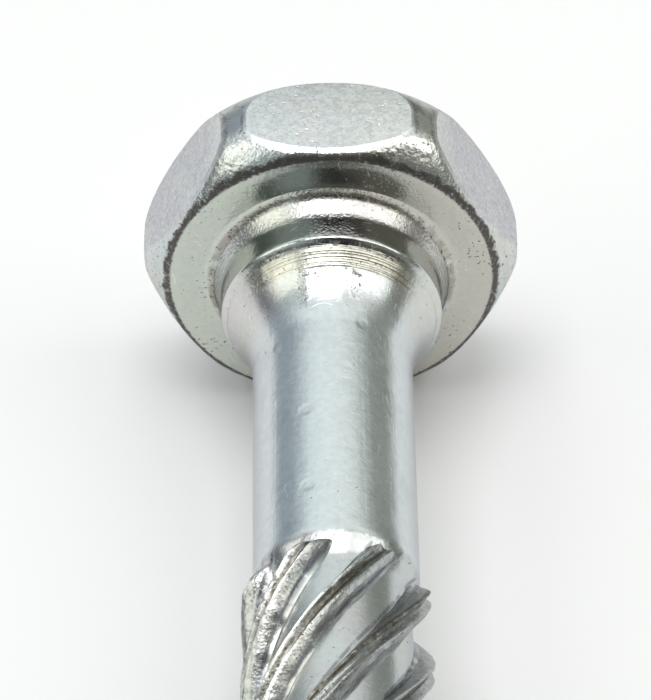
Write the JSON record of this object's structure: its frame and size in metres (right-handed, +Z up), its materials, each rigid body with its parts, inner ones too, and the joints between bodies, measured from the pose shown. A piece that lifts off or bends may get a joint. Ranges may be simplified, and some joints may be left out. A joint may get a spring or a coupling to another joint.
{
  "type": "lag screw",
  "caption": "Hex head lag screw for timber: round-cornered head, collar, plain shank, steep reamer ribs and a coarse wood thread that ends in a point.",
  "frame": {"origin": "under the middle of the resting screw, on the table plane", "axes": "+Z up; the screw lies along Y with its head towards +Y and its point towards -Y, and its axis drops about 2 degrees towards the point because it rests on a flat of the head and on the thread"},
  "size_m": [0.0144, 0.0844, 0.0131],
  "materials": {
    "zinc_plated_steel": "bright blue-passivated zinc plating, with fine scratches and pits"
  },
  "bodies": {
    "root": {"lag_screw": "zinc_plated_steel"}
  },
  "joints": []
}
